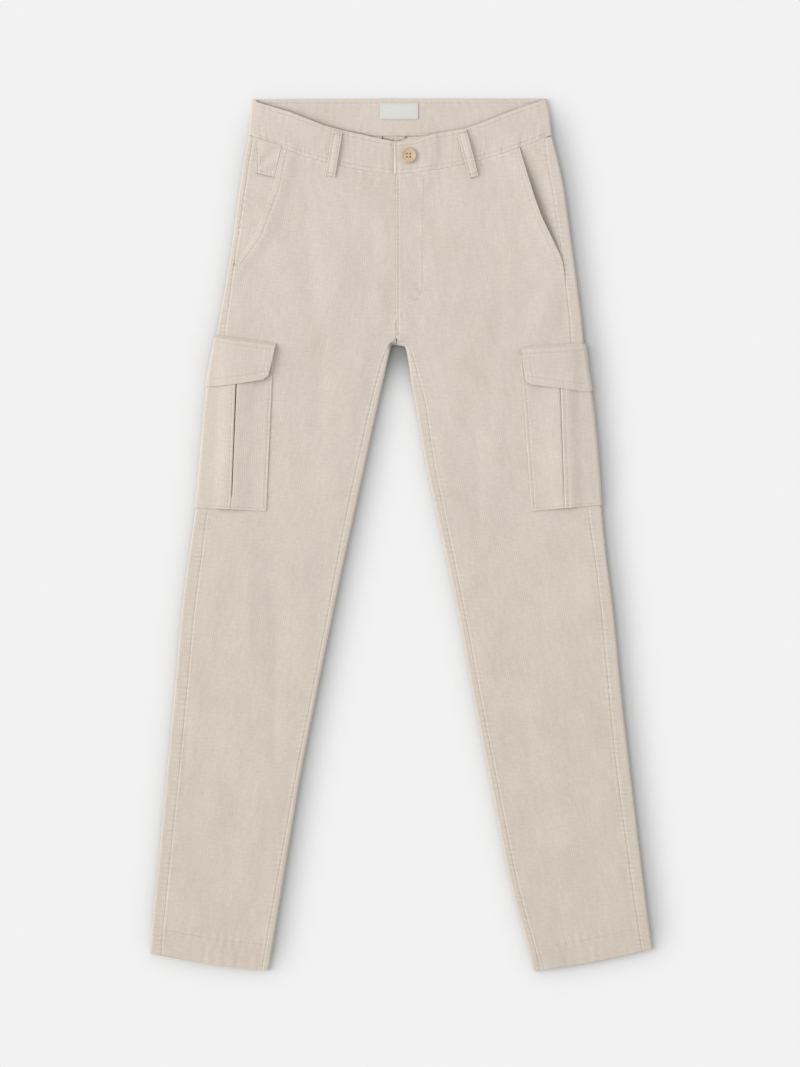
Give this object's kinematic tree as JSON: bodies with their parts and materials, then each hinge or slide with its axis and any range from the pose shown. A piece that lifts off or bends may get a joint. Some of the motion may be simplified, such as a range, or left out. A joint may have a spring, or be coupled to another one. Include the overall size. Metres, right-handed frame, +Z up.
{
  "type": "corduroy cargo trousers",
  "caption": "Slim trousers in pale fine-wale corduroy, laid flat, with slant, ticket and flapped cargo pockets, belt loops and a buttoned waistband.",
  "frame": {"origin": "on the surface that the trousers lie on, under the middle of their outline", "axes": "+Y along the legs towards the waist, +X towards the wearer's left side, +Z up from the surface through the front"},
  "size_m": [0.6098, 1.0594, 0.0123],
  "materials": {
    "corduroy": "soft fine-wale pile",
    "label_cloth": "woven, matte",
    "button_resin": "satin horn-like resin"
  },
  "bodies": {
    "root": {"back_right": "corduroy", "back_left": "corduroy", "front_right": "corduroy", "front_left": "corduroy", "hip_facing_right": "corduroy", "hip_facing_left": "corduroy", "ticket_pocket_right": "corduroy", "waistband_right": "corduroy", "waistband_left": "corduroy", "belt_loop_right": "corduroy", "belt_loop_left": "corduroy", "cargo_pocket_right": "corduroy", "cargo_pocket_left": "corduroy", "cargo_flap_right": "corduroy", "cargo_flap_left": "corduroy", "hanger_tab": "corduroy", "label_blank": "label_cloth", "button": "button_resin"}
  },
  "joints": []
}
